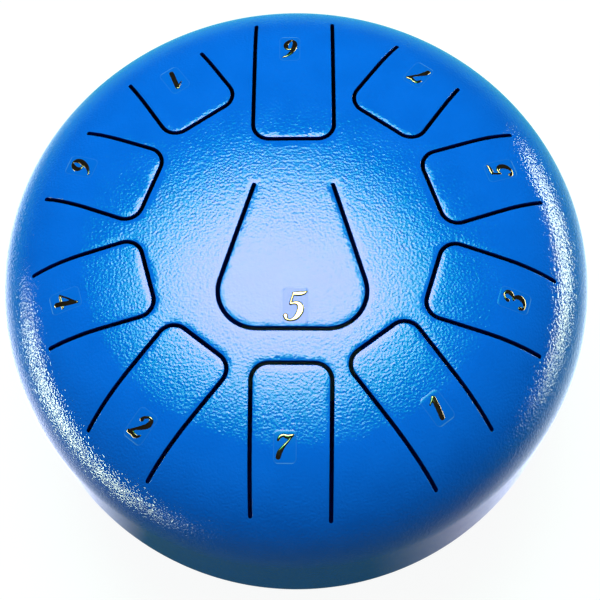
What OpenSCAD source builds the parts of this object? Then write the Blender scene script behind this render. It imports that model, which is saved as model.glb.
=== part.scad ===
// Steel tongue drum: two domed steel shells joined at the equator, eleven tongues cut in the top one.
// Millimetres, +Z up. The origin is under the drum's middle, on the surface that its feet stand on.
// -Y is the player's side, where the lowest ring tongue but one lies.

/* [Shells] */
// Outer diameter of both shells at the equator
drum_d = 254; // [220:2:320]
// Thickness of the steel
wall = 1.8; // [1.2:0.1:2.5]
// Outer radius of the shallow crown
crown_r = 900; // [500:10:1500]
// Outer radius of the shoulder between the crown and the band
shoulder_r = 45; // [35:1:55]
// Height of the straight band of each shell
band_h = 26; // [20:1:40]

/* [Seam] */
// Height of the slanted step that takes the bottom shell's lip inwards
step_h = 3; // [2:0.5:5]
// Height of the lip that stands inside the top shell
lip_h = 9; // [4:0.5:15]
// Clearance between the lip and the inside of the top shell
lip_gap = 0.1; // [0.05:0.05:0.3]

/* [Tongues] */
// Width of the slits
slit_w = 1.7; // [1:0.1:2.5]
// Corner radius of a ring tongue, on the middle of its slit
ring_corner_r = 7; // [4:0.5:10]
// How much narrower a ring tongue is at its root than at its free end
ring_taper = 0.7; // [0:0.1:3]
// Steel between the centre tongue's free end and the ring tongue that faces it, between slit middles
bridge_w = 14; // [10:0.5:20]
// How far the centre tongue's slits run past the drum's axis
centre_reach = 22; // [10:1:26]
// Distance between the centre tongue's slits at their ends
centre_root_w = 32.5; // [25:0.5:40]
// Width of the centre tongue at its free end, before its corners are rounded
centre_free_w = 71; // [60:1:74]
// Corner radius of the centre tongue, on the middle of its slit
centre_corner_r = 16; // [8:0.5:18]

/* [Labels] */
// Width of a ring tongue's number label
label_w = 9; // [7:0.5:12]
// Height of a ring tongue's number label
label_h = 13; // [11:0.5:15]
// Corner radius of a ring tongue's number label
label_corner_r = 2; // [1:0.25:3]
// Thickness of a label, film and foil together
label_t = 0.15; // [0.1:0.05:0.3]

/* [Underside] */
// Diameter of the sound hole
sound_hole_d = 64; // [40:2:90]
// Diameter of the circle that the feet stand on
foot_circle_d = 144; // [130:2:156]
// Height of the bottom shell's lowest point, were it not cut away, above the surface
stand_h = 6; // [4:0.5:12]
// Diameter of a foot where it meets the shell
foot_top_d = 20; // [16:0.5:24]
// Diameter of a foot where it stands
foot_base_d = 16; // [12:0.5:20]
// Radius round the edge of a foot's base
foot_edge_r = 1.5; // [0.5:0.25:2.5]
// Diameter of the hole in the shell that a foot is pushed through
foot_hole_d = 8; // [6:0.5:10]
// Clearance between a foot's stem and its hole
stem_gap = 0.15; // [0.05:0.05:0.3]
// Diameter of the bulb that holds a foot from inside
bulb_d = 11.5; // [11:0.5:14]
// Height of the bulb above the inside of the shell
bulb_h = 5; // [3:0.5:8]
// Diameter of the bulb's tip
bulb_tip_d = 5; // [3:0.5:6]

/* [Hidden] */
// How far a cut runs past the material
overrun = 5;
// Facets round a full turn, and round the wide circle of the crown
turn_fn = 144;
crown_fn = 2880;
small_fn = 48;
// Steps in the rounding of a slit's corners and ends
corner_steps = 6;

drum_r = drum_d / 2;
// The shoulder's centre in the profile, and the crown's, both above the seam
shoulder_x = drum_r - shoulder_r;
shoulder_z = band_h;
crown_z = shoulder_z - sqrt(pow(crown_r - shoulder_r, 2) - pow(shoulder_x, 2));
// Height of a shell from the seam to its crown
shell_h = crown_z + crown_r;
// Height of the seam above the surface that the drum stands on
seam_z = stand_h + shell_h;
// Where the shoulder passes into the crown: the sine of the slope there
blend_sine = shoulder_x / (crown_r - shoulder_r);

// Ring tongues, anticlockwise from the player's side. The scale climbs from side to side.
ring_notes = ["low_7", "1", "3", "5", "7", "low_6", "high_1", "6", "4", "2"];
ring_n = len(ring_notes);
// Places of the free ends and of the two slits' ends, and widths at the free end, as shares of the drum's
// radius. A tongue is tuned by cutting its slits on, so its two slits end apart.
ring_free_shares = [0.428, 0.432, 0.465, 0.476, 0.501, 0.343, 0.518, 0.493, 0.479, 0.456];
ring_left_slit_shares = [0.892, 0.860, 0.838, 0.808, 0.796, 0.818, 0.792, 0.822, 0.837, 0.883];
ring_right_slit_shares = [0.881, 0.900, 0.854, 0.810, 0.770, 0.825, 0.748, 0.782, 0.837, 0.875];
ring_width_shares = [0.252, 0.254, 0.262, 0.268, 0.270, 0.268, 0.268, 0.268, 0.264, 0.254];
// Degrees by which each ring tongue is turned from its even place. The tongues beside the centre tongue's
// root stand a little closer together than those beside its free end.
ring_turns = [0, 1.2, 0.9, 1.4, 1.1, 0.4, -1.1, -2, -1.7, -1.7];
// Places of the labels along their tongues, as shares of the drum's radius. They are stuck on by hand,
// so each is also off its tongue's middle by a share of its own width.
ring_label_shares = [0.688, 0.719, 0.730, 0.718, 0.733, 0.701, 0.708, 0.749, 0.752, 0.773];
ring_label_side_shares = [-0.25, 0.22, 0.08, 0.08, 0.06, 0.20, 0.02, -0.06, 0.03, 0.20];
centre_label_share = 0.245;
centre_label_side_share = 0.14;
// The centre tongue's label is larger than the others by this factor
centre_label_size_share = 1.2;
// The centre tongue's free end faces the first ring tongue
centre_free = ring_free_shares[0] * drum_r - bridge_w;

foot_angles = [90, 210, 330];

function ring_angle(i) = i * 360 / ring_n - 90 + ring_turns[i];

// Height above the seam of a dome's surface, at a distance r from the axis and inset from the outer one
function dome_height(r, inset) =
    r < (crown_r - inset) * blend_sine
        ? crown_z + sqrt(pow(crown_r - inset, 2) - pow(r, 2))
        : shoulder_z + sqrt(pow(shoulder_r - inset, 2) - pow(r - shoulder_x, 2));

// Half of a dome's cross-section, above the band: crown and shoulder, inset from the outer surface.
// It starts at the height from_z, so that a cut can run past the band's top.
module dome_profile(inset, from_z) {
    crown_edge = (crown_r - inset) * blend_sine;
    intersection() {
        translate([0, from_z]) square([drum_r + overrun, shell_h + overrun - from_z]);
        union() {
            translate([shoulder_x, shoulder_z]) circle(r = shoulder_r - inset, $fn = 4 * turn_fn);
            translate([0, from_z]) square([shoulder_x, shoulder_z - from_z + shoulder_r / 2]);
            intersection() {
                translate([0, crown_z]) circle(r = crown_r - inset, $fn = crown_fn);
                square([crown_edge, shell_h + overrun]);
            }
        }
    }
}

// Cross-section of a pressed dome's steel, from the top of its band to its crown
module dome_steel_profile() {
    difference() {
        dome_profile(0, shoulder_z);
        dome_profile(wall, shoulder_z - wall);
    }
}

// Points of an arc, ends included, in corner_steps steps
function arc(centre, r, from, to) = [
    for (i = [0 : corner_steps])
        let (angle = from + (to - from) * i / corner_steps)
            centre + r * [cos(angle), sin(angle)]
];

function turned_back(points) = [for (i = [len(points) - 1 : -1 : 0]) points[i]];

function mirrored(points) = [for (p = points) [p.x, -p.y]];

// Middle of the slit along a tongue's side, at a distance x. The tongue lies along +X with its free end
// at "free", half_free is half its width there before its corners are rounded, and its side leans.
function side_point(x, free, half_free, lean) = [x, half_free + (x - free) * tan(lean)];

// One edge of the slit, from the free end round the corner and along the side to "end". grow carries the
// edge outwards from the slit's middle.
function slit_edge(end, free, half_free, lean, corner, grow) =
    let (corner_middle = side_point(free + corner, free, half_free, lean) - [0, corner / cos(lean)])
    concat(
        arc(corner_middle, corner + grow, 180, 90 + lean),
        [side_point(end, free, half_free, lean) + grow * [-sin(lean), cos(lean)]]
    );

// Round end of the slit, from its outer edge to its inner one, without the corners that the edges have
function slit_end(end, free, half_free, lean) =
    let (points = arc(side_point(end, free, half_free, lean), slit_w / 2, 90 + lean, lean - 90))
    [for (i = [1 : corner_steps - 1]) points[i]];

// The slit round a tongue. Its sides end at left, above the X axis, and at right, below it.
module slit(free, left, right, half_free, half_root, corner) {
    lean = atan((half_root - half_free) / (max(left, right) - free));
    half = slit_w / 2;
    polygon(concat(
        turned_back(slit_edge(left, free, half_free, lean, corner, half)),
        mirrored(slit_edge(right, free, half_free, lean, corner, half)),
        mirrored(slit_end(right, free, half_free, lean)),
        turned_back(mirrored(slit_edge(right, free, half_free, lean, corner, -half))),
        slit_edge(left, free, half_free, lean, corner, -half),
        turned_back(slit_end(left, free, half_free, lean))
    ));
}

// Seen from the drum's middle, the left side of a ring tongue is the anticlockwise one
module ring_slit(i) {
    half_free = ring_width_shares[i] * drum_r / 2;
    rotate(ring_angle(i))
        slit(
            ring_free_shares[i] * drum_r,
            ring_left_slit_shares[i] * drum_r,
            ring_right_slit_shares[i] * drum_r,
            half_free,
            half_free - ring_taper / 2,
            ring_corner_r
        );
}

// The centre tongue's free end is on the player's side, and its root is past the axis
module centre_slit() {
    rotate(90)
        translate([-centre_free, 0])
            slit(
                0,
                centre_free + centre_reach,
                centre_free + centre_reach,
                centre_free_w / 2,
                centre_root_w / 2,
                centre_corner_r
            );
}

module upper_shell() {
    color("royalblue")
        translate([0, 0, seam_z])
            difference() {
                rotate_extrude($fn = turn_fn) {
                    dome_steel_profile();
                    translate([drum_r - wall, 0]) square([wall, band_h]);
                }
                linear_extrude(shell_h + overrun) {
                    centre_slit();
                    for (i = [0 : ring_n - 1])
                        ring_slit(i);
                }
            }
}

// The bottom shell's band, step and lip in cross-section, with the seam at height 0 and the band above
// it, as the shell lies before it is turned over. The step keeps the wall's thickness.
module lower_rim_profile() {
    inward = wall + lip_gap;
    step_length = norm([inward, step_h]);
    inner_step_z = step_h + wall * inward / step_length - step_h * wall * (1 - step_h / step_length) / inward;
    polygon([
        [drum_r - wall, band_h], [drum_r - wall, inner_step_z],
        [drum_r - inward - wall, inner_step_z - step_h], [drum_r - inward - wall, -lip_h],
        [drum_r - inward, -lip_h], [drum_r - inward, 0], [drum_r, step_h], [drum_r, band_h]
    ]);
}

module lower_shell() {
    color("royalblue")
        translate([0, 0, seam_z])
            difference() {
                rotate([180, 0, 0])
                    rotate_extrude($fn = turn_fn) {
                        dome_steel_profile();
                        lower_rim_profile();
                    }
                translate([0, 0, -shell_h - overrun])
                    cylinder(d = sound_hole_d, h = shell_h, $fn = turn_fn);
                for (angle = foot_angles)
                    rotate(angle)
                        translate([foot_circle_d / 2, 0, -shell_h - overrun])
                            cylinder(d = foot_hole_d, h = shell_h, $fn = small_fn);
            }
}

// Weld metal in the groove between the step and the top shell's edge, ground flush
module seam_weld() {
    color("royalblue")
        translate([0, 0, seam_z])
            rotate_extrude($fn = turn_fn)
                polygon([[drum_r - wall - lip_gap, 0], [drum_r, -step_h], [drum_r, 0]]);
}

// Everything inside the bottom shell's dome, down to a surface that is inset from its outer one
module bottom_dome_space(inset) {
    translate([0, 0, seam_z])
        rotate([180, 0, 0])
            rotate_extrude($fn = turn_fn) dome_profile(inset, shoulder_z);
}

// Cross-section of a foot's base: a short cone with a rounded edge, tall enough to be cut to the shell
module foot_base_profile(top_z) {
    base_r = foot_base_d / 2;
    top_r = foot_top_d / 2;
    difference() {
        polygon([[0, 0], [base_r, 0], [top_r, top_z], [0, top_z]]);
        translate([base_r - foot_edge_r, 0]) square([overrun, foot_edge_r]);
    }
    translate([base_r - foot_edge_r, foot_edge_r]) circle(r = foot_edge_r, $fn = small_fn);
}

// A rubber foot: base below the shell, stem through its hole, and bulb inside
module foot(i) {
    foot_x = foot_circle_d / 2;
    // The shell's outside over the foot's middle, and over the foot's outer edge
    shell_z = seam_z - dome_height(foot_x, 0);
    rim_z = seam_z - dome_height(foot_x + foot_top_d / 2, 0);
    color("dimgray")
        rotate(foot_angles[i])
            union() {
                difference() {
                    translate([foot_x, 0, 0]) rotate_extrude($fn = small_fn) foot_base_profile(rim_z + wall);
                    bottom_dome_space(0);
                }
                translate([foot_x, 0, shell_z - stand_h / 2])
                    cylinder(d = foot_hole_d - 2 * stem_gap, h = wall + stand_h, $fn = small_fn);
                intersection() {
                    translate([foot_x, 0, shell_z])
                        cylinder(d1 = bulb_d, d2 = bulb_tip_d, h = wall + bulb_h, $fn = small_fn);
                    bottom_dome_space(wall);
                }
            }
}

module rounded_square(size, r) {
    square([size.x - 2 * r, size.y], center = true);
    square([size.x, size.y - 2 * r], center = true);
    for (x = [-1, 1], y = [-1, 1])
        translate([x * (size.x / 2 - r), y * (size.y / 2 - r)]) circle(r = r, $fn = small_fn);
}

// A film label lying on the dome, its height along the radius at "angle", size_share times the usual size
module label(angle, place, side, size_share) {
    size = size_share * [label_h, label_w];
    color("gold")
        translate([0, 0, seam_z])
            intersection() {
                rotate_extrude($fn = turn_fn)
                    difference() {
                        dome_profile(-label_t, shoulder_z);
                        dome_profile(0, shoulder_z - wall);
                    }
                rotate(angle)
                    translate([place, side])
                        linear_extrude(shell_h + overrun) rounded_square(size, size_share * label_corner_r);
            }
}

module centre_label() {
    label(-90, centre_label_share * drum_r, centre_label_side_share * label_w, centre_label_size_share);
}

module ring_label(i) {
    label(ring_angle(i), ring_label_shares[i] * drum_r, ring_label_side_shares[i] * label_w, 1);
}

upper_shell();
lower_shell();
seam_weld();
foot(0);  // foot_back
foot(1);  // foot_left
foot(2);  // foot_right
centre_label();  // label_low_5
for (i = [0 : ring_n - 1])
    ring_label(i);
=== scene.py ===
# %% [markdown]
# A steel tongue drum, dressed round its CAD frame
#
# A steel tongue drum is an empty shell of two pressed steel domes. Narrow slits cut tongues out of the top
# dome, and each tongue sounds its own note. This lesson builds its visible skin: thin steel with slits that
# have soft coated edges, a glossy blue powder coat with an orange-peel grain, and small raised numbers in
# gold foil. Sizes and places are those of the CAD model. Each new piece stands where its CAD node is.

# %% Load the frame
import bpy
import numpy as np
from mathutils import Matrix, Vector
from mathutils.geometry import delaunay_2d_cdt


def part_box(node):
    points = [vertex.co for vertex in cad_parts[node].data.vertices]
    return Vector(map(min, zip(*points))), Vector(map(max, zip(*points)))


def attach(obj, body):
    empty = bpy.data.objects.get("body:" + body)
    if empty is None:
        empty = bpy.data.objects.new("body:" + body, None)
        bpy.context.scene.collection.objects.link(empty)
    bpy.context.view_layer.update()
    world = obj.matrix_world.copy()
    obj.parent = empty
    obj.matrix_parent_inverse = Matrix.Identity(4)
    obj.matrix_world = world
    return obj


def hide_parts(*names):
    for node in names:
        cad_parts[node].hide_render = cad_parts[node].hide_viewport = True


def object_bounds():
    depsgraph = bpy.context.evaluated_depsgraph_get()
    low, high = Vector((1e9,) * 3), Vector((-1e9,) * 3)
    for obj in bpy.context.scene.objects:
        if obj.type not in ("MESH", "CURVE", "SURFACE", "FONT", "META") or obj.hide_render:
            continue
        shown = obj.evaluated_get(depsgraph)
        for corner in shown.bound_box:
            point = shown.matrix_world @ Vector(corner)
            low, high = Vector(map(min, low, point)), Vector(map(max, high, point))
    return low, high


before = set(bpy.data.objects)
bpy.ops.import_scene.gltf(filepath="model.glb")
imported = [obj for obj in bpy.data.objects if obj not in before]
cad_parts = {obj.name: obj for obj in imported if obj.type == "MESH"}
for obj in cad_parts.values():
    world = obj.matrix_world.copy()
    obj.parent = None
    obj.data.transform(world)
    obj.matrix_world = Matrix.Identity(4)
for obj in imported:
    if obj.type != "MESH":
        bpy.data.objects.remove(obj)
cad_low, cad_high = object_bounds()
print("CAD box in mm:", [round(1000 * side) for side in cad_high - cad_low])

# %% [markdown]
# Sizes come from the frame
#
# The box of a CAD node gives its place and its outer size. What doesn't show in a box, such as the radii
# of the dome, is written here as in the CAD model. All lengths are in metres, because Blender and the frame
# use metres, and mm is the factor that turns millimetres into metres.

# %% Read the drum's sizes
mm = 0.001
top_low, top_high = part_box("upper_shell")
drum_r = 127 * mm
seam_z = top_low.z
shell_h = top_high.z - seam_z
wall = 1.8 * mm
crown_r, shoulder_r = 900 * mm, 45 * mm
band_h = 26 * mm
shoulder_x = drum_r - shoulder_r
crown_z = shell_h - crown_r
blend_sine = shoulder_x / (crown_r - shoulder_r)
print(f"seam at {seam_z / mm:.2f} mm, shell {shell_h / mm:.2f} mm high")

# %% [markdown]
# The dome as a formula
#
# A pressed dome has two radii: a nearly flat crown, and a tight shoulder that turns it down into the
# straight band. The height over the seam is a function of the distance from the axis, so one formula can
# lift any flat pattern onto the steel. The inner surface has the same centres and radii smaller by the
# wall.

# %% Height of the dome
def dome_height(r, inset=0.0):
    """Height over the seam at distance r: the crown's circle inside the blend, the shoulder's outside it."""
    crown = crown_z + np.sqrt((crown_r - inset) ** 2 - r**2)
    along = np.clip(np.abs(r - shoulder_x), 0, shoulder_r - inset)
    shoulder = band_h + np.sqrt((shoulder_r - inset) ** 2 - along**2)
    return np.where(r < (crown_r - inset) * blend_sine, crown, shoulder)


blend_r = crown_r * blend_sine
print(f"crown at {dome_height(0.0) / mm:.2f} mm, blend at {dome_height(blend_r) / mm:.2f} mm")

# %% [markdown]
# Small tools for meshes
#
# Every piece here is made from arrays. A grid of points becomes quads by joining each point to its
# neighbours in the next row and column. Points that two surfaces share are given the same place, and one
# weld at the end makes them one, so the skin is closed and shades smoothly across the join.

# %% Grids, welding and new pieces
def grid_quads(rows, columns, wrap):
    """Quads of a grid of points in row order. With wrap, the last column joins the first again."""
    last = columns if wrap else columns - 1
    i, j = np.meshgrid(np.arange(rows - 1), np.arange(last), indexing="ij")
    k = (j + 1) % columns
    corners = [i * columns + j, i * columns + k, (i + 1) * columns + k, (i + 1) * columns + j]
    return np.stack(corners, -1).reshape(-1, 4)


def weld(parts):
    """Joins (points, faces) pairs into one set, with points at the same place, to a nanometre, made one."""
    points = np.vstack([p for p, _ in parts])
    starts = np.cumsum([0] + [len(p) for p, _ in parts])
    _, first, index = np.unique(points.round(9), axis=0, return_index=True, return_inverse=True)
    index = index.ravel()
    faces = [row for (_, f), start in zip(parts, starts) for row in index[f + start].tolist()]
    return points[first], faces


def new_piece(name, points, faces, material, sharp=35):
    """A mesh object at the origin, smooth but for edges sharper than an angle, that rides on the drum."""
    mesh = bpy.data.meshes.new(name)
    mesh.from_pydata(points.tolist(), [], faces)
    mesh.validate()
    mesh.polygons.foreach_set("use_smooth", np.ones(len(mesh.polygons), bool))
    mesh.set_sharp_from_angle(angle=np.radians(sharp))
    mesh.materials.append(material)
    piece = bpy.data.objects.new(name, mesh)
    bpy.context.scene.collection.objects.link(piece)
    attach(piece, "root")
    mesh.calc_loop_triangles()
    print(f"{name}: {len(mesh.vertices)} points, {len(mesh.loop_triangles)} triangles")
    return piece


print("a grid of 3 by 4 points gives", len(grid_quads(3, 4, wrap=False)), "quads")

# %% [markdown]
# The slits as paths
#
# A tongue's slit is one narrow cut that runs in along one side, round the free end, and out along the other
# side. A laser cuts it straight down, so its plan is the same on the outer and the inner surface. The plan
# is worked out as points with the direction that the slit's outer edge faces. The same points then give the
# edge of the cut at any width, which is how its rounded edge is made later.

# %% Plan of a tongue's slit
slit_w = 1.7 * mm
slit_step = 1.1 * mm
end_steps = 7


def polar(angle):
    """Unit vectors at an array of angles."""
    return np.stack([np.cos(angle), np.sin(angle)], -1)


def slit_plan(free, left, right, half_free, half_root, corner):
    """Middle line of a slit from its left end to its right one, with the angle its outer edge faces.
    A straight leaning side, a round corner and half the free end, then the same mirrored."""
    lean = np.arctan((half_root - half_free) / (max(left, right) - free))
    centre = np.array([free + corner, half_free + corner * (np.tan(lean) - 1 / np.cos(lean))])
    turn = np.linspace(np.pi / 2 + lean, np.pi, int((np.pi / 2 - lean) * corner / slit_step) + 2)
    side_start = centre + corner * polar(turn[0])

    def half(end):
        x = np.linspace(end, side_start[0], int((end - side_start[0]) / slit_step) + 1)[:-1]
        y = side_start[1] + (x - side_start[0]) * np.tan(lean)
        front_y = np.linspace(centre[1], 0, int(centre[1] / slit_step) + 2)[1:]
        front = np.stack([np.full_like(front_y, free), front_y], -1)
        points = np.vstack([np.stack([x, y], -1), centre + corner * polar(turn), front])
        facing = np.concatenate([np.full(len(x), turn[0]), turn, np.full(len(front_y), np.pi)])
        return points, facing

    (left_points, left_facing), (right_points, right_facing) = half(left), half(right)
    points = np.vstack([left_points, right_points[-2::-1] * (1, -1)])
    return points, np.concatenate([left_facing, 2 * np.pi - right_facing[-2::-1]])


def slit_edge(points, facing, grow):
    """Closed outline of a slit, wider than the cut by grow on each side, with half circles as its ends."""
    reach = slit_w / 2 + grow
    fan = np.linspace(0, np.pi, end_steps + 2)[1:-1]
    right_end = points[-1] + reach * polar(facing[-1] + fan)
    left_end = points[0] + reach * polar(facing[0] - np.pi + fan)
    outer, inner = points + reach * polar(facing), points - reach * polar(facing)
    return np.vstack([outer, right_end, inner[::-1], left_end])


print(f"slits {slit_w / mm:.1f} mm wide, a point about every {slit_step / mm:.1f} mm")

# %% [markdown]
# Eleven tongues, placed by shares of the drum's radius
#
# The ten ring tongues stand about 36 degrees apart. Each has its own length, because the note depends on
# it, and the two sides of its slit end at different radii, because the maker cuts them on while tuning.
# These are the CAD model's shares.

# %% Eleven slits on the drum
ring_free_shares = [0.428, 0.432, 0.465, 0.476, 0.501, 0.343, 0.518, 0.493, 0.479, 0.456]
ring_left_shares = [0.892, 0.860, 0.838, 0.808, 0.796, 0.818, 0.792, 0.822, 0.837, 0.883]
ring_right_shares = [0.881, 0.900, 0.854, 0.810, 0.770, 0.825, 0.748, 0.782, 0.837, 0.875]
ring_width_shares = [0.252, 0.254, 0.262, 0.268, 0.270, 0.268, 0.268, 0.268, 0.264, 0.254]
ring_turns = [0, 1.2, 0.9, 1.4, 1.1, 0.4, -1.1, -2, -1.7, -1.7]
ring_corner_r, ring_taper = 7 * mm, 0.7 * mm
bridge_w, centre_reach = 14 * mm, 22 * mm
centre_free_w, centre_root_w, centre_corner_r = 71 * mm, 32.5 * mm, 16 * mm
centre_free = ring_free_shares[0] * drum_r - bridge_w
ring_angles = np.radians(36 * np.arange(10) - 90 + ring_turns)


def turned(points, facing, angle, shift=0.0):
    """A plan moved along +X and then turned about the drum's axis."""
    c, s = np.cos(angle), np.sin(angle)
    return (points + (shift, 0)) @ np.array([[c, s], [-s, c]]), facing + angle


slits = []
for free, left, right, width, angle in zip(
    ring_free_shares, ring_left_shares, ring_right_shares, ring_width_shares, ring_angles
):
    half_free = width * drum_r / 2
    ends = free * drum_r, left * drum_r, right * drum_r
    plan = slit_plan(*ends, half_free, half_free - ring_taper / 2, ring_corner_r)
    slits.append(turned(*plan, angle))
centre_end = centre_free + centre_reach
plan = slit_plan(0, centre_end, centre_end, centre_free_w / 2, centre_root_w / 2, centre_corner_r)
slits.append(turned(*plan, np.pi / 2, shift=-centre_free))
print(f"{len(slits)} slits, {sum(len(points) for points, _ in slits)} points along their middle lines")

# %% [markdown]
# A sheet with holes in it
#
# How could holes go into a smooth curved sheet? A boolean cut works, but it leaves long odd faces that
# spoil a glossy reflection. Here the plan is triangulated flat instead, with each hole's outline as an edge
# that the triangles must respect. Rings of points fill the rest, closer together in plan where the dome is
# steeper. Lifted by the dome's formula, the triangles are even and small, and the holes' edges are exact.

# %% Triangulate a disc with holes
join_r = 119 * mm
spokes = 480
cell = 2.1 * mm
clearance = 0.6 * cell
curve_steps = 4000
same_spot_mm = 1e-5
least_area = 1e-6 * mm**2


def ring(r, count, start=0.0):
    """Points evenly round a circle about the drum's axis."""
    return r * polar(start + 2 * np.pi * np.arange(count) / count)


def within(points, outline):
    """Which points lie inside a closed outline: a line to the right crosses it an odd number of times."""
    a, b = outline, np.roll(outline, -1, 0)
    x, y = points[:, :1], points[:, 1:]
    spans = (a[:, 1] > y) != (b[:, 1] > y)
    slope = (b[:, 0] - a[:, 0]) / np.where(b[:, 1] == a[:, 1], 1, b[:, 1] - a[:, 1])
    return (spans & (x < a[:, 0] + (y - a[:, 1]) * slope)).sum(1) % 2 == 1


def ring_radii():
    """Radii of the filling rings: equal steps along the dome's curve from the axis to the join."""
    r = np.linspace(0, join_r, curve_steps)
    along = np.concatenate([[0], np.cumsum(np.hypot(np.diff(r), np.diff(dome_height(r))))])
    return np.interp(np.arange(1, int(along[-1] / cell)) * cell, along, r)


def pierced_plan(outlines):
    """Points and triangles of a flat disc with holes."""
    rings = [ring(r, max(6, int(2 * np.pi * r / cell)), r / cell) for r in ring_radii()]
    fill = np.vstack([[(0.0, 0.0)]] + rings)
    near = np.full(len(fill), np.inf)
    for outline in outlines:
        gap = np.linalg.norm(fill[:, None] - outline[None], axis=2).min(1)
        near = np.minimum(near, np.where(within(fill, outline), 0, gap))
    keep = (near > clearance) & (np.linalg.norm(fill, axis=1) < join_r - clearance)
    loops = outlines + [ring(join_r, spokes)]
    starts = np.cumsum([0] + [len(loop) for loop in loops])
    edges = []
    for start, loop in zip(starts, loops):
        edges += [(start + i, start + (i + 1) % len(loop)) for i in range(len(loop))]
    points = np.vstack(loops + [fill[keep]])
    flat = [Vector(p) for p in points / mm]
    _, _, found, sources, _, _ = delaunay_2d_cdt(flat, edges, [], 0, same_spot_mm, True)
    source = np.array([ids[0] for ids in sources])
    triangles = source[np.array(found)]
    a, b, c = (points[triangles[:, k]] for k in range(3))
    area = (b - a)[:, 0] * (c - a)[:, 1] - (b - a)[:, 1] * (c - a)[:, 0]
    triangles = np.where((area < 0)[:, None], triangles[:, ::-1], triangles)[np.abs(area) > least_area]
    middle = points[triangles].mean(1)
    hollow = np.any([within(middle, outline) for outline in outlines], axis=0)
    return points, triangles[~hollow]


radii = ring_radii()
print(f"{len(radii)} filling rings, the last one at {radii[-1] / mm:.1f} mm")

# %% [markdown]
# From plan to steel
#
# The same plan is lifted twice, onto the outer and the inner surface. Between the two, each cut has a wall.
# Powder coat creeps round an edge as it melts, so the wall starts and ends in a small quarter round. Each
# row of the wall is the hole's outline at one width and depth. The rim of the shell is a profile turned
# about the axis. The inner surface and the deep part of each cut lie sheltered from the powder, and those
# faces are marked for a thin coat whose darker blue is painted shade.

# %% Build a shell
lip = 0.2 * mm
round_steps, coated_steps = 4, 3
arc_steps = 21


def lifted(plan, inset, drop=0.0):
    """A plan laid on the dome's surface, or as far under it as drop says."""
    return np.column_stack([plan, dome_height(np.linalg.norm(plan, axis=1), inset) - drop])


def cut_wall(edge):
    """Wall of a cut as a grid: a quarter round at the top, straight down, a quarter round at the bottom."""
    turn = np.linspace(0, np.pi / 2, round_steps + 1)
    rows = [lifted(edge(lip * (1 - np.sin(a))), 0.0, lip * (1 - np.cos(a))) for a in turn]
    rows += [lifted(edge(lip * (1 - np.sin(a))), wall, -lip * (1 - np.cos(a))) for a in turn[::-1]]
    return np.vstack(rows), grid_quads(len(rows), len(rows[0]), wrap=True)


def revolved(profile):
    """A profile of (radius, height) points turned about the axis. Its faces look to its left as it runs."""
    around = ring(1.0, spokes)
    points = np.concatenate([np.column_stack([r * around, np.full(spokes, h)]) for r, h in profile])
    return points, grid_quads(len(profile), spokes, wrap=True)


def shoulder_arc(inset):
    """Profile of the shoulder from the join to the top of the band."""
    reach = shoulder_r - inset
    angle = np.linspace(np.arcsin((join_r - shoulder_x) / reach), np.pi / 2, arc_steps + 1)
    return [(shoulder_x + reach * np.sin(a), band_h + reach * np.cos(a)) for a in angle]


def shell_skin(edges, rim):
    """Points and faces of a domed shell, seam at height 0, pierced by cuts whose outlines edges give, and
    a mark for each face with the thin coat and its painted shade: the inner surface, and each cut's wall
    but for its first strips."""
    plan, triangles = pierced_plan([edge(lip) for edge in edges])
    inside, outside = shoulder_arc(wall), shoulder_arc(0.0)
    inside[0], outside[0] = [(join_r, float(dome_height(join_r, inset))) for inset in (wall, 0.0)]
    domes = [(lifted(plan, 0.0), triangles), (lifted(plan, wall), triangles[:, ::-1])]
    side = revolved(inside + rim + outside[::-1])
    walls = [cut_wall(edge) for edge in edges]
    # Marked faces get the thin coat, darkened as painted shade.
    thin_shaded = [np.zeros(len(triangles), bool), np.ones(len(triangles), bool)]
    thin_shaded += [np.arange(len(side[1])) < len(inside) * spokes]
    coated = coated_steps / (2 * round_steps + 1)
    thin_shaded += [np.arange(len(faces)) >= round(coated * len(faces)) for _, faces in walls]
    return *weld([*domes, side, *walls]), np.concatenate(thin_shaded)


def shell_piece(name, node, edges, rim, upside_down=False):
    """A coated shell that stands for a CAD node, turned over if it is the bottom one."""
    points, faces, thin_shaded = shell_skin(edges, rim)
    if upside_down:
        points, faces = points * (1, 1, -1), [face[::-1] for face in faces]
    piece = new_piece(name, points + (0, 0, seam_z), faces, powder_coat)
    # The marked faces take the thin coat, whose darker blue is painted shade.
    piece.data.materials.append(thin_shaded_coat)
    piece.data.polygons.foreach_set("material_index", thin_shaded.astype(np.int32))
    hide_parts(node)


print(f"a cut's wall has {2 * round_steps + 1} strips, {coated_steps} of them fully coated")

# %% [markdown]
# Short ways to join nodes
#
# Materials, lamps and the room are all node trees, and they need the same few steps: add a node, give each
# input a value or a link, do some arithmetic, and stretch a range of values. One small class holds these
# steps, and a second one adds what a material needs.

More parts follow.
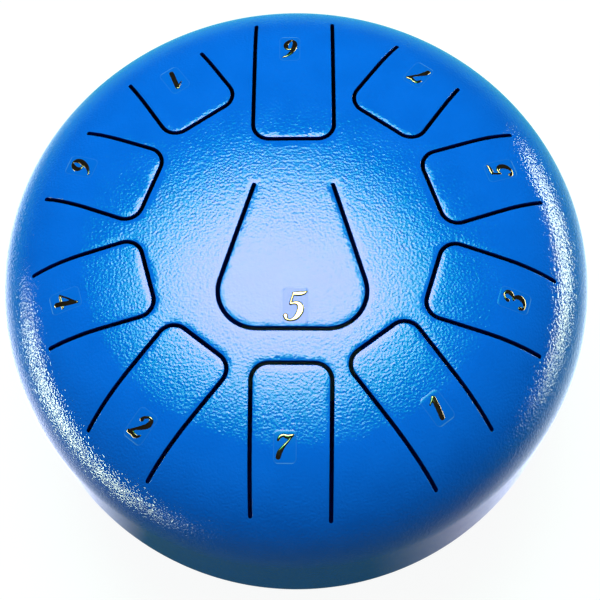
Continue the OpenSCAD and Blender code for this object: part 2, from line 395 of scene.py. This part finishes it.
# %% Node helpers
class Nodes:
    """A node tree, and short ways to add and join its nodes."""

    def __init__(self, tree):
        self.tree = tree

    def put(self, socket, value):
        """Gives a socket a plain value, or joins another node's output to it."""
        if isinstance(value, bpy.types.NodeSocket):
            self.tree.links.new(value, socket)
        else:
            socket.default_value = value

    def node(self, kind, settings=None, **inputs):
        """Adds a node. An underscore in the name of an input stands for a space."""
        node = self.tree.nodes.new("ShaderNode" + kind)
        for key, value in (settings or {}).items():
            setattr(node, key, value)
        for key, value in inputs.items():
            self.put(node.inputs[key.replace("_", " ")], value)
        return node

    def maths(self, operation, a, b=0.0):
        """One step of arithmetic on outputs or values."""
        node = self.node("Math", {"operation": operation})
        self.put(node.inputs[0], a)
        self.put(node.inputs[1], b)
        return node.outputs[0]

    def product(self, first, *others):
        """All the values multiplied."""
        for other in others:
            first = self.maths("MULTIPLY", first, other)
        return first

    def length(self, vector):
        """Distance of a vector's end from the origin."""
        return self.node("VectorMath", {"operation": "LENGTH"}, Vector=vector).outputs["Value"]

    def span(self, value, low, high, start=0.3, end=0.7):
        """A value stretched so that start to end becomes low to high. A noise runs from about 0.3 to 0.7."""
        inputs = {"Value": value, "From_Min": start, "From_Max": end, "To_Min": low, "To_Max": high}
        return self.node("MapRange", **inputs).outputs["Result"]


print("node helpers:", [name for name in vars(Nodes) if not name.startswith("_")])

# %% [markdown]
# A shared grain
#
# Powder coat, rubber, film and foil all carry a fine grain, each at its own scale, so the grain is one node
# group that is placed in every material. It reads Object coordinates, and it puts out a height for the bump
# and a slow patch that varies colour and roughness a little over the surface.

# %% Grain group and finishes
patch_scale = 1 / 12


def grain_group():
    """Noise at a given number of cells a metre, and a second noise that is twelve times coarser."""
    nodes = Nodes(bpy.data.node_groups.new("grain", "ShaderNodeTree"))
    for name, side in (("Cells", "INPUT"), ("Height", "OUTPUT"), ("Patch", "OUTPUT")):
        nodes.tree.interface.new_socket(name, in_out=side, socket_type="NodeSocketFloat")
    enter, leave = nodes.tree.nodes.new("NodeGroupInput"), nodes.tree.nodes.new("NodeGroupOutput")
    place, cells = nodes.node("TexCoord").outputs["Object"], enter.outputs["Cells"]
    for output, scale in (("Height", cells), ("Patch", nodes.maths("MULTIPLY", cells, patch_scale))):
        noise = nodes.node("TexNoise", Vector=place, Scale=scale, Detail=0.7, Roughness=0.45)
        nodes.put(leave.inputs[output], noise.outputs["Fac"])
    return nodes.tree


grain_tree = grain_group()


class Finish(Nodes):
    """A material with its Principled shader."""

    def __init__(self, name, **sockets):
        self.material = bpy.data.materials.new(name)
        self.material.use_nodes = True
        super().__init__(self.material.node_tree)
        self.shader = self.tree.nodes["Principled BSDF"]
        for socket, value in sockets.items():
            self.feed(socket.replace("_", " "), value)

    def feed(self, socket, value):
        """Gives a socket of the shader a value or an output."""
        self.put(self.shader.inputs[socket], value)

    def grain(self, cells):
        """Height and patch of the shared grain, at a number of cells a metre."""
        outputs = self.node("Group", {"node_tree": grain_tree}, Cells=cells).outputs
        return outputs["Height"], outputs["Patch"]

    def blend(self, share, first, second):
        """A colour that goes from the first to the second as share goes from 0 to 1."""
        return self.node("Mix", {"data_type": "RGBA"}, Factor=share, A=first, B=second).outputs["Result"]

    def mottled(self, patch, tones):
        """A colour that drifts between two tones with the patch of the grain."""
        return self.blend(self.span(patch, low=0, high=1), *tones)

    def relief(self, height, depth):
        """Bump that stands as deep as depth times height."""
        bump = self.node("Bump", Strength=1.0, Distance=depth, Height=height)
        self.feed("Normal", bump.outputs["Normal"])


print(f"grain group of {len(grain_tree.nodes)} nodes")

# %% [markdown]
# The glossy blue powder coat
#
# Powder coat is a plastic skin that melts on the hot steel. It is smooth and glossy, but it shrinks into
# soft pits called orange peel, about a millimetre apart, which break the edge of every reflection. On the
# crown the pits are shallow. Towards the shoulder they get steeper, and they break the lamps' images there
# into sparkles. The colour is a deep blue with hardly any red.
#
# Inside the drum and deep in a cut the powder hardly lands, so the coat is thin and dull there. Its much
# darker blue is painted shade, which is what makes the slits look dark from above.

# %% Powder coat
coat_blues = (0.0, 0.155, 0.81, 1), (0.0, 0.167, 0.86, 1)
# The thin coat's blues are darkened as painted shade, so that the slits look dark.
thin_shaded_blues = (0.0, 0.018, 0.28, 1), (0.0, 0.021, 0.33, 1)
peel_cells, peel_depth = 1000, 0.08 * mm
axis_steepness, crown_steepness, shoulder_steepness = 1.3, 0.85, 2.2


def powder_coat_finish():
    """The coat outside: glossy, with pits that get steeper towards the shoulder."""
    finish = Finish("powder_coat", IOR=1.55)
    height, patch = finish.grain(peel_cells)
    finish.feed("Base Color", finish.mottled(patch, coat_blues))
    finish.feed("Roughness", finish.span(patch, low=0.06, high=0.09))
    apart = finish.node("SeparateXYZ", Vector=finish.node("TexCoord").outputs["Object"]).outputs
    flat = finish.node("CombineXYZ", X=apart["X"], Y=apart["Y"]).outputs["Vector"]
    radius = finish.length(flat)
    crown = finish.span(radius, axis_steepness, crown_steepness, start=0, end=60 * mm)
    shoulder = finish.span(radius, 0, shoulder_steepness, start=85 * mm, end=115 * mm)
    finish.relief(finish.product(height, finish.maths("ADD", crown, shoulder)), peel_depth)
    return finish.material


def thin_shaded_coat_finish():
    """The thin coat where little powder lands: dull, without pits, and darkened as painted shade."""
    finish = Finish("thin_shaded_coat", Specular_IOR_Level=0.04)
    height, patch = finish.grain(peel_cells)
    finish.feed("Base Color", finish.mottled(patch, thin_shaded_blues))
    finish.feed("Roughness", finish.span(height, low=0.55, high=0.75))
    return finish.material


powder_coat, thin_shaded_coat = powder_coat_finish(), thin_shaded_coat_finish()
print("coats:", powder_coat.name, "and", thin_shaded_coat.name)

# %% [markdown]
# The top shell
#
# The top shell is one pressed sheet, with eleven slits cut through it. Its rim is a plain edge, and the
# weld joins it to the bottom shell.

# %% Top shell
def slit_opening(plan):
    """The outline of one slit as a function of how far it is grown."""
    return lambda grow: slit_edge(*plan, grow)


top_rim = [(drum_r - wall, band_h / 2), (drum_r - wall, 0.0), (drum_r, 0.0), (drum_r, band_h / 2)]
shell_piece("top_shell", "upper_shell", [slit_opening(plan) for plan in slits], top_rim)

# %% [markdown]
# The bottom shell
#
# The bottom shell is the same pressing turned over, without tongues. It has a round sound hole in the
# middle and three small holes for the feet. Its edge is stepped in and has a thin lip that stands inside
# the top shell, and the step is the groove for the weld. The step meets the band at a blunt corner, which
# shades softly. The rim's last point, just past the corner, keeps that soft shading off the band.

# %% Bottom shell
step_h, lip_h, lip_gap = 3 * mm, 9 * mm, 0.1 * mm
corner_guard = 0.2 * mm
sound_hole_d, foot_circle_d, foot_hole_d = 64 * mm, 144 * mm, 8 * mm
foot_angles = np.radians([90, 210, 330])


def round_opening(x, y, diameter, count):
    """The outline of a round hole as a function of how far it is grown."""
    return lambda grow: (x, y) + ring(diameter / 2 + grow, count)


feet_xy = foot_circle_d / 2 * polar(foot_angles)
openings = [round_opening(0, 0, sound_hole_d, count=120)]
openings += [round_opening(x, y, foot_hole_d, count=32) for x, y in feet_xy]
inward = wall + lip_gap
step_length = np.hypot(inward, step_h)
inner_step_z = step_h + wall * inward / step_length - step_h * wall * (1 - step_h / step_length) / inward
bottom_rim = [
    (drum_r - wall, inner_step_z),
    (drum_r - inward - wall, inner_step_z - step_h),
    (drum_r - inward - wall, -lip_h),
    (drum_r - inward, -lip_h),
    (drum_r - inward, 0.0),
    (drum_r, step_h),
    (drum_r, step_h + corner_guard),
]
shell_piece("bottom_shell", "lower_shell", openings, bottom_rim, upside_down=True)

# %% [markdown]
# The weld
#
# The weld fills the groove round the equator and is ground flush, so after coating it can't be seen. It is
# a ring with a three-cornered section.

# %% Weld ring
groove = [(drum_r - inward, 0.0), (drum_r, -step_h), (drum_r, 0.0), (drum_r - inward, 0.0)]
points, faces = weld([revolved(groove)])
weld_ring = new_piece("weld_ring", points + (0, 0, seam_z), faces, powder_coat)
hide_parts("seam_weld")

# %% [markdown]
# Rubber feet
#
# Three soft rubber feet are pushed into the bottom shell. Their CAD shape is right, so they keep it and get
# a dull black rubber with a fine moulded grain.

# %% Rubber
rubber_blacks = (0.012, 0.012, 0.013, 1), (0.028, 0.027, 0.026, 1)


def rubber_finish():
    """Dull black rubber."""
    finish = Finish("black_rubber", IOR=1.5)
    height, patch = finish.grain(cells=2200)
    finish.feed("Base Color", finish.mottled(patch, rubber_blacks))
    finish.feed("Roughness", finish.span(height, low=0.55, high=0.75))
    finish.relief(height, depth=0.05 * mm)
    return finish.material


rubber = rubber_finish()
for name in ("foot_back", "foot_left", "foot_right"):
    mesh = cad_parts[name].data
    mesh.materials.clear()
    mesh.materials.append(rubber)
print("3 feet in rubber")

# %% [markdown]
# Shapes that rise from a sheet
#
# A number pressed from foil, and the clear film that carries it, are thin flat shapes with round edges.
# Each is given by one function: how deep a point lies inside the outline, and less than zero outside it.
# A square grid is laid over the shape, the cells that touch it are kept, and their outer corners slide onto
# the outline. The height over the sheet then rises from the outline in a quarter round.

# %% Raise a shape from its depth function
slides, least_slope = 3, 0.3


def raised(depth, low, high, pitch, floor, thickness, round_over):
    """Grid of pitch over low to high, kept where depth is above 0, as a thin closed form.
    The top rises by thickness times sqrt(1 - (1 - depth / round_over) squared), then stays level."""
    counts = np.ceil((np.array(high) - low) / pitch).astype(int) + 1
    x, y = np.meshgrid(*(np.linspace(a, b, n) for a, b, n in zip(low, high, counts)))
    flat = np.stack([x.ravel(), y.ravel()], -1)
    quads = grid_quads(counts[1], counts[0], wrap=False)
    quads = quads[(depth(flat)[quads] > 0).any(1)]
    outer = depth(flat) <= 0
    step = pitch / 50
    for _ in range(slides):
        spot = flat[outer]
        slope = [(depth(spot + d) - depth(spot - d)) / (2 * step) for d in ((step, 0), (0, step))]
        slope = np.stack(slope, -1)
        steepness = np.maximum((slope**2).sum(1), least_slope)
        flat[outer] = spot - (depth(spot) / steepness)[:, None] * slope
    inside = np.where(outer, 0, np.clip(depth(flat) / round_over, 0, 1))
    top = np.column_stack([flat, floor + thickness * np.sqrt(1 - (1 - inside) ** 2)])
    bottom = np.column_stack([flat, np.full(len(flat), floor)])
    used = np.unique(quads)
    index = np.zeros(len(flat), int)
    index[used] = np.arange(len(used))
    return weld([(top[used], index[quads]), (bottom[used], index[quads][:, ::-1])])


def on_tongue(points, centre, up):
    """Points of a flat label, x to its right and y up it, laid on the dome at centre."""
    right = np.array([up[1], -up[0]])
    plan = centre + points[:, :1] * right + points[:, 1:2] * up
    return np.column_stack([plan, seam_z + dome_height(np.linalg.norm(plan, axis=1)) + points[:, 2]])


print(f"a raised shape's edge slides onto its outline in {slides} steps")

# %% [markdown]
# Numerals drawn with a broad pen
#
# The numbers are bold, leaning and have thick and thin strokes, as a broad pen draws them. So each numeral
# is a few strokes, and a stroke is a smooth curve through points that carry a half width. The depth of a
# point in the numeral is the half width of the nearest stroke point less the distance to it. Lengths are
# shares of the numeral's height, and the lean is a shift to the right that grows with height.

# %% Strokes of the numerals
lean = 0.22
# Each point is (x, y, half width).
numeral_strokes = {
    "1": [
        [(0.12, 0.76, 0.030), (0.24, 0.84, 0.045), (0.36, 0.95, 0.060)],
        [(0.37, 0.90, 0.100), (0.37, 0.50, 0.105), (0.37, 0.10, 0.105)],
    ],
    "2": [
        [(0.15, 0.72, 0.085), (0.17, 0.84, 0.060), (0.31, 0.95, 0.050), (0.46, 0.90, 0.085)]
        + [(0.52, 0.74, 0.110), (0.46, 0.56, 0.100), (0.30, 0.36, 0.065), (0.14, 0.16, 0.045)]
        + [(0.10, 0.09, 0.045)],
        [(0.10, 0.08, 0.075), (0.24, 0.10, 0.090), (0.42, 0.07, 0.080), (0.55, 0.12, 0.050)]
        + [(0.60, 0.22, 0.025)],
    ],
    "3": [
        [(0.14, 0.76, 0.075), (0.17, 0.88, 0.050), (0.30, 0.96, 0.045), (0.45, 0.88, 0.080)]
        + [(0.48, 0.74, 0.095), (0.40, 0.60, 0.060), (0.27, 0.54, 0.035)],
        [(0.27, 0.54, 0.035), (0.42, 0.50, 0.065), (0.52, 0.32, 0.110), (0.46, 0.13, 0.090)]
        + [(0.29, 0.04, 0.045), (0.15, 0.09, 0.055), (0.11, 0.20, 0.080)],
    ],
    "4": [
        [(0.46, 0.95, 0.035), (0.27, 0.66, 0.035), (0.07, 0.33, 0.035)],
        [(0.07, 0.30, 0.050), (0.32, 0.30, 0.055), (0.62, 0.31, 0.050)],
        [(0.44, 0.93, 0.060), (0.44, 0.60, 0.100), (0.44, 0.08, 0.100)],
    ],
    "5": [
        [(0.20, 0.90, 0.065), (0.36, 0.90, 0.080), (0.50, 0.92, 0.060), (0.58, 0.97, 0.030)],
        [(0.19, 0.92, 0.035), (0.17, 0.75, 0.040), (0.16, 0.58, 0.040)],
        [(0.17, 0.56, 0.040), (0.31, 0.60, 0.060), (0.46, 0.53, 0.090), (0.52, 0.35, 0.110)]
        + [(0.45, 0.14, 0.085), (0.29, 0.04, 0.045), (0.15, 0.08, 0.055), (0.10, 0.18, 0.080)],
    ],
    "6": [
        [(0.50, 0.96, 0.035), (0.34, 0.88, 0.060), (0.20, 0.70, 0.090), (0.13, 0.42, 0.110)]
        + [(0.17, 0.18, 0.095), (0.31, 0.04, 0.045), (0.45, 0.12, 0.085), (0.52, 0.30, 0.105)]
        + [(0.46, 0.47, 0.085), (0.34, 0.55, 0.045), (0.22, 0.50, 0.040)],
    ],
    "7": [
        [(0.09, 0.74, 0.050), (0.13, 0.86, 0.065), (0.26, 0.92, 0.070), (0.42, 0.87, 0.085)]
        + [(0.60, 0.92, 0.060)],
        [(0.62, 0.94, 0.040), (0.50, 0.72, 0.045), (0.36, 0.50, 0.065), (0.26, 0.28, 0.100)]
        + [(0.24, 0.10, 0.100)],
    ],
}


def smooth_stroke(points, steps=16):
    """Catmull-Rom curve through points: it passes each one in the direction of its two neighbours."""
    p = np.array(points, float)
    p = np.vstack([2 * p[0] - p[1], p, 2 * p[-1] - p[-2]])
    t = np.linspace(0, 1, steps, endpoint=False)[:, None]
    a, b, c, d = (p[k : len(p) - 3 + k, None] for k in range(4))
    curve = 2 * b + (c - a) * t + (2 * a - 5 * b + 4 * c - d) * t**2 + (3 * b - a - 3 * c + d) * t**3
    return np.vstack([curve.reshape(-1, 3) / 2, p[-2:-1]])


def numeral_depth(digit, height):
    """Depth function of a numeral of a given height, its box centred on the origin, and half its box."""
    pen = np.vstack([smooth_stroke(stroke) for stroke in numeral_strokes[digit]])
    pen[:, 0] += lean * pen[:, 1]
    low, high = (pen[:, :2] - pen[:, 2:]).min(0), (pen[:, :2] + pen[:, 2:]).max(0)
    pen[:, :2] -= (low + high) / 2
    pen *= height / (high - low)[1]

    def depth(points):
        return (pen[:, 2] - np.linalg.norm(points[:, None] - pen[None, :, :2], axis=2)).max(1)

    return depth, (high - low) / 2 * height / (high - low)[1]


def film_depth(half, corner_r):
    """Depth function of a rectangle with round corners, half its sides given."""

    def depth(points):
        past = np.abs(points) - (half - corner_r)
        return corner_r - np.linalg.norm(np.maximum(past, 0), axis=1) - np.minimum(past.max(1), 0)

    return depth


stroke_counts = {digit: len(strokes) for digit, strokes in numeral_strokes.items()}
print("strokes of each numeral:", stroke_counts)

# %% [markdown]
# Gold foil and clear film
#
# The numbers are dark gold foil with a mirror finish. On a level face it shows the dark room, and on the
# round edges it shows lamps and floor, so the bright outlines come by themselves. The film under them is
# clear: over blue coat it looks like the same blue, but level and without orange peel. Its outline carries
# a painted highlight, a trace paler than the film, most of all below the number's foot.

# %% Foil and film
foil_golds = (0.36, 0.26, 0.12, 1), (0.42, 0.32, 0.17, 1)
film_blues = (0.0, 0.155, 0.78, 1), (0.0, 0.167, 0.83, 1)
# Paler blue of the film's outline: a painted highlight.
film_highlight_blue = (0.10, 0.36, 0.86, 1)


def foil_finish():
    """Dark gold metal that is nearly a mirror."""
    finish = Finish("gold_foil", Metallic=1.0)
    height, patch = finish.grain(cells=900)
    finish.feed("Base Color", finish.mottled(patch, foil_golds))
    finish.feed("Roughness", finish.span(height, low=0.08, high=0.16))
    finish.relief(height, depth=0.02 * mm)
    return finish.material


def film_finish():
    """Clear film over blue coat, with a paler painted highlight along its marked outline."""
    finish = Finish("clear_film", IOR=1.5)
    height, patch = finish.grain(cells=260)
    # The marked outline gets the paler blue of a painted highlight.
    edge = finish.node("Attribute", {"attribute_name": "film_highlight"}).outputs["Fac"]
    finish.feed("Base Color", finish.blend(edge, finish.mottled(patch, film_blues), film_highlight_blue))
    finish.feed("Roughness", finish.span(patch, low=0.06, high=0.10))
    finish.relief(height, depth=0.05 * mm)
    return finish.material


foil, film = foil_finish(), film_finish()
print("label finishes:", foil.name, "and", film.name)

# %% [markdown]
# Eleven labels
#
# Each label sits in the middle of its CAD node. The centre one is upright. The feet of the ring's numbers
# point outwards along their tongues, so that they read upright with their tongue in front of the player.

# %% Labels
label_w, label_h, label_corner_r = 9 * mm, 13 * mm, 2 * mm
film_lift, film_t, film_round, film_pitch = 0.02 * mm, 0.05 * mm, 1.5 * mm, 0.5 * mm
foil_t, foil_round, foil_pitch, foil_room = 0.30 * mm, 0.55 * mm, 0.2 * mm, 0.3 * mm
# Width of the film's painted highlight, and its share on the sides away from the foot.
film_highlight_w, other_sides = 0.4 * mm, 0.2
ring_numeral_h, centre_numeral_h = 10.0 * mm, 12.9 * mm
centre_label_scale = 1.2
notes = ["low_7", "1", "3", "5", "7", "low_6", "high_1", "6", "4", "2"]


def add_film(note, centre, up, scale):
    """Clear film in the place of a CAD label. Its outline is marked for a painted highlight,
    in full on the foot's side.
    """
    half = scale * np.array([label_w, label_h]) / 2
    depth = film_depth(half, scale * label_corner_r)
    points, faces = raised(depth, -half, half, film_pitch, film_lift, film_t, film_round)
    # Painted highlight along the film's outline, in full below the foot.
    by_foot = points[:, 1] < film_pitch - half[1]
    edge = np.clip(1 - depth(points[:, :2]) / film_highlight_w, 0, 1) * np.where(by_foot, 1, other_sides)
    piece = new_piece("film_" + note, on_tongue(points, centre, up), faces, film)
    mask = piece.data.attributes.new("film_highlight", "FLOAT", "POINT")
    mask.data.foreach_set("value", edge.astype(np.float32))
    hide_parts("label_" + note)


def add_numeral(note, centre, up, height):
    """Foil numeral on its film. The last letter of the note's name is its digit."""
    depth, half = numeral_depth(note[-1], height)
    low, high = -half - foil_room, half + foil_room
    points, faces = raised(depth, low, high, foil_pitch, film_lift + film_t, foil_t, foil_round)
    new_piece("numeral_" + note, on_tongue(points, centre, up), faces, foil, sharp=60)


def add_label(note, up, scale, numeral_h):
    """Film and numeral in the place of a CAD label, with the numeral's top towards up."""
    low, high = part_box("label_" + note)
    centre = np.array([low.x + high.x, low.y + high.y]) / 2
    add_film(note, centre, up, scale)
    add_numeral(note, centre, up, numeral_h)


add_label("low_5", np.array([0.0, 1.0]), centre_label_scale, centre_numeral_h)
for note, direction in zip(notes, polar(ring_angles)):
    add_label(note, -direction, 1.0, ring_numeral_h)

# %% [markdown]
# Floor
#
# The drum stands on a plain white floor. The lamps are set for the drum and not for the floor, so the floor
# gets light of its own where the camera looks at it, a little less than white, and the drum's faint shadow
# stays. Gloss sees other light on the floor: a pale glow at the drum's left and right, and a bluish glow
# all round that fades towards the front, as the coat in the photograph shows. Right under the drum the
# floor has no light of its own, so the slits stay dark.

# %% White floor
camera_glow, left_glow, right_glow, round_glow = 0.91, 2.8, 1.5, 0.75
# For each channel, the shares of the glow beside the drum and of the glow all round.
glow_tints = {"Red": (1.0, 0.0), "Green": (0.9, 0.75), "Blue": (1.2, 1.0)}
floor_reach = 3.0


def side_glow(finish, across, back, radius):
    """Glow beside the drum. The places across and back are shares of the distance from the axis."""
    left = finish.span(across, left_glow, 0, start=-0.98, end=-0.6)
    right = finish.span(across, 0, right_glow, start=0.3, end=0.8)
    right = finish.product(right, finish.span(back, 1, 0, start=0.2, end=0.7))
    not_before = finish.span(back, 0, 1, start=-1.05, end=-0.3)
    near = finish.span(radius, 1, 0, start=0.13, end=0.34)
    return finish.product(finish.maths("ADD", left, right), not_before, near)


def floor_finish():
    """A dull floor that shows one light to the camera and another to gloss."""
    finish = Finish("white_floor", Base_Color=(0.13, 0.17, 0.16, 1), Roughness=0.9, Emission_Strength=1)
    place = finish.node("TexCoord").outputs["Object"]
    radius = finish.length(place)
    apart = finish.node("SeparateXYZ", Vector=place).outputs
    across, back = (finish.maths("DIVIDE", apart[axis], radius) for axis in "XY")
    beside = side_glow(finish, across, back, radius)
    all_round = finish.span(radius, round_glow, 0, start=0.13, end=1.5)
    all_round = finish.product(all_round, finish.span(back, 0.1, 1, start=-0.75, end=-0.1))
    look = finish.node("LightPath").outputs
    mirrored = finish.maths("MAXIMUM", look["Is Glossy Ray"], look["Is Transmission Ray"])
    seen = finish.product(look["Is Camera Ray"], camera_glow)
    clear_of_drum = finish.span(radius, 0, 1, start=0.07, end=0.09)
    light = finish.node("CombineColor")
    for channel, (pale, bluish) in glow_tints.items():
        glow = finish.maths("ADD", finish.product(beside, pale), finish.product(all_round, bluish))
        level = finish.maths("ADD", finish.product(mirrored, glow), seen)
        finish.put(light.inputs[channel], finish.product(level, clear_of_drum))
    finish.feed("Emission Color", light.outputs["Color"])
    return finish.material


corners = np.array([(-1, -1, 0), (1, -1, 0), (1, 1, 0), (-1, 1, 0)], float) * floor_reach
floor_mesh = bpy.data.meshes.new("floor")
floor_mesh.from_pydata(corners.tolist(), [], [(0, 1, 2, 3)])
floor_mesh.materials.append(floor_finish())
floor = bpy.data.objects.new("floor", floor_mesh)
floor.location.z = cad_low.z
bpy.context.scene.collection.objects.link(floor)
print("floor at", round(cad_low.z / mm, 2), "mm")

# %% [markdown]
# Light
#
# One large round softbox hangs over the far side of the drum. It gives nearly all the light, and its mirror
# image is the pale patch on the crown. Like a real softbox it fades towards its edges. Green and blue reach
# a little further out than red, so the patch ends in a bluish edge.

# %% Key lamp
drum_middle = Vector((0, 0, seam_z))


def lamp(name, place, along, width, height, radiance, shape="RECTANGLE", back=None, colour=(1, 1, 1)):
    """A lamp that faces the drum, or away from back, with its width along a direction. Its power is its
    radiance times its area times pi, and Blender takes the area of a round lamp as round."""
    data = bpy.data.lights.new(name, "AREA")
    data.shape = shape
    data.size, data.size_y = width, height
    area = width * height * (np.pi / 4 if shape == "ELLIPSE" else 1)
    data.energy = radiance * area * np.pi
    data.color = colour
    back = back or (Vector(place) - drum_middle).normalized()
    right = (Vector(along) - back * back.dot(Vector(along))).normalized()
    turn = Matrix((right, back.cross(right), back)).transposed().to_4x4()
    stand = bpy.data.objects.new(name, data)
    stand.matrix_world = Matrix.Translation(Vector(place)) @ turn
    stand.visible_camera = False
    bpy.context.scene.collection.objects.link(stand)
    print(f"{name}: {data.energy:.1f} W")
    return stand


def soft_edge(stand, spots, power):
    """Light that fades as exp(-(distance / reach) to a power), with distances in half sides of the lamp.
    There is one spot (x, y, reach) each for red, green and blue, x and y as shares of the lamp's sides."""
    stand.data.use_nodes = True
    nodes = Nodes(stand.data.node_tree)
    place = nodes.node("NewGeometry").outputs["Parametric"]
    colour = nodes.node("CombineColor")
    for channel, (x, y, reach) in zip(("Red", "Green", "Blue"), spots):
        centred = nodes.node("Mapping", Vector=place, Location=(-2 * x, -2 * y, 0), Scale=(2, 2, 0))
        share = nodes.maths("DIVIDE", nodes.length(centred.outputs["Vector"]), reach)
        fall = nodes.maths("MULTIPLY", nodes.maths("POWER", share, power), -1)
        nodes.put(colour.inputs[channel], nodes.maths("EXPONENT", fall))
    nodes.put(nodes.tree.nodes["Emission"].inputs["Color"], colour.outputs["Color"])


key_place, key_along, up = (-0.058, 0.385, seam_z + 1.2), (0.980, -0.197, 0), Vector((0, 0, 1))
key = lamp("key", key_place, key_along, width=1.042, height=0.92, radiance=10.5, shape="ELLIPSE", back=up)
soft_edge(key, [(0.5, 0.49, 0.585), (0.5, 0.5, 0.735), (0.5, 0.5, 0.68)], power=8)

# %% [markdown]
# Three strip lights
#
# Three narrow strips lean low beside the drum. They are slightly green, and they fade out from a brightest
# place on their length. Only gloss sees them, and their images are the sparkling arcs along the shoulder.

# %% Strip lights
strip_colour = (0.85, 1.0, 0.65)
strip_reach, strip_power = 1.1, 3.6
# Each strip is (start, end, height across, radiance, brightest place as a share of its length).
strips = {
    "left_strip": ((-0.458, 0.057, 0.146), (-0.385, -0.240, 0.018), 0.06, 22, 0.6),
    "left_low_strip": ((-0.330, -0.215, 0.036), (-0.137, -0.322, 0.017), 0.03, 20, 0.2),
    "right_strip": ((0.368, 0.290, 0.190), (0.430, -0.170, 0.040), 0.07, 18, 0.35),
}
for name, (start, end, height, radiance, brightest) in strips.items():
    along, middle = Vector(end) - Vector(start), (Vector(start) + Vector(end)) / 2
    strip = lamp(name, middle, along, along.length, height, radiance, colour=strip_colour)
    soft_edge(strip, [(brightest, 0.5, strip_reach)] * 3, strip_power)
    strip.visible_diffuse = False

# %% [markdown]
# The room round the lamps
#
# The room lends a dim light from all sides, more of it from the back left. Where the camera looks past the
# floor it sees a white backdrop. Gloss sees a nearly black room, which keeps the blue deep.

# %% World
ambient, dark_share, bright_share = 0.30, 0.45, 1.55
bright_side = (-0.8, 0.6, 0)
backdrop, room_in_gloss = 1.0, 0.03


def studio_world():
    """Dim light that is stronger from the bright side, white for the camera and nearly black for gloss."""
    world = bpy.data.worlds.new("studio")
    world.use_nodes = True
    nodes = Nodes(world.node_tree)
    way = nodes.node("VectorMath", {"operation": "DOT_PRODUCT"})
    nodes.put(way.inputs[0], nodes.node("TexCoord").outputs["Generated"])
    nodes.put(way.inputs[1], bright_side)
    side = nodes.span(way.outputs["Value"], dark_share, bright_share, start=-1, end=1)
    level = nodes.product(side, ambient)
    look = nodes.node("LightPath").outputs
    for ray, light in (("Camera", backdrop), ("Glossy", room_in_gloss), ("Transmission", room_in_gloss)):
        level = nodes.node("Mix", Factor=look[f"Is {ray} Ray"], A=level, B=light).outputs["Result"]
    background = nodes.tree.nodes["Background"].inputs
    background["Color"].default_value = (1, 1, 1, 1)
    nodes.put(background["Strength"], level)
    return world


bpy.context.scene.world = studio_world()
print(f"room light {ambient * dark_share:.2f} to {ambient * bright_share:.2f}, {room_in_gloss} in gloss")

# %% [markdown]
# Camera
#
# The camera looks down steeply from in front, a little to the right, and it is tilted by nearly three
# degrees, as in the photograph. Its place was fitted to the drum's outline and the slits' ends.

# %% Camera
camera_data = bpy.data.cameras.new("camera")
camera_data.lens, camera_data.sensor_width = 78.73, 36
camera_data.shift_x, camera_data.shift_y = 0.0065, -0.0017
camera_data.clip_start = 0.01
camera = bpy.data.objects.new("camera", camera_data)
bpy.context.scene.collection.objects.link(camera)
elevation, azimuth, roll, reach = np.radians(69.24), np.radians(3.13), np.radians(-2.73), 601.1 * mm
outward = np.cos(elevation)
back = Vector((np.sin(azimuth) * outward, -np.cos(azimuth) * outward, np.sin(elevation)))
right = Vector((np.cos(azimuth), np.sin(azimuth), 0))
turn = Matrix((right, back.cross(right), back)).transposed().to_4x4() @ Matrix.Rotation(roll, 4, "Z")
camera.matrix_world = Matrix.Translation(drum_middle + back * reach) @ turn
bpy.context.scene.camera = camera
bpy.context.scene.view_settings.view_transform = "Standard"
print("camera at", [round(side / mm) for side in camera.matrix_world.translation])

# %% [markdown]
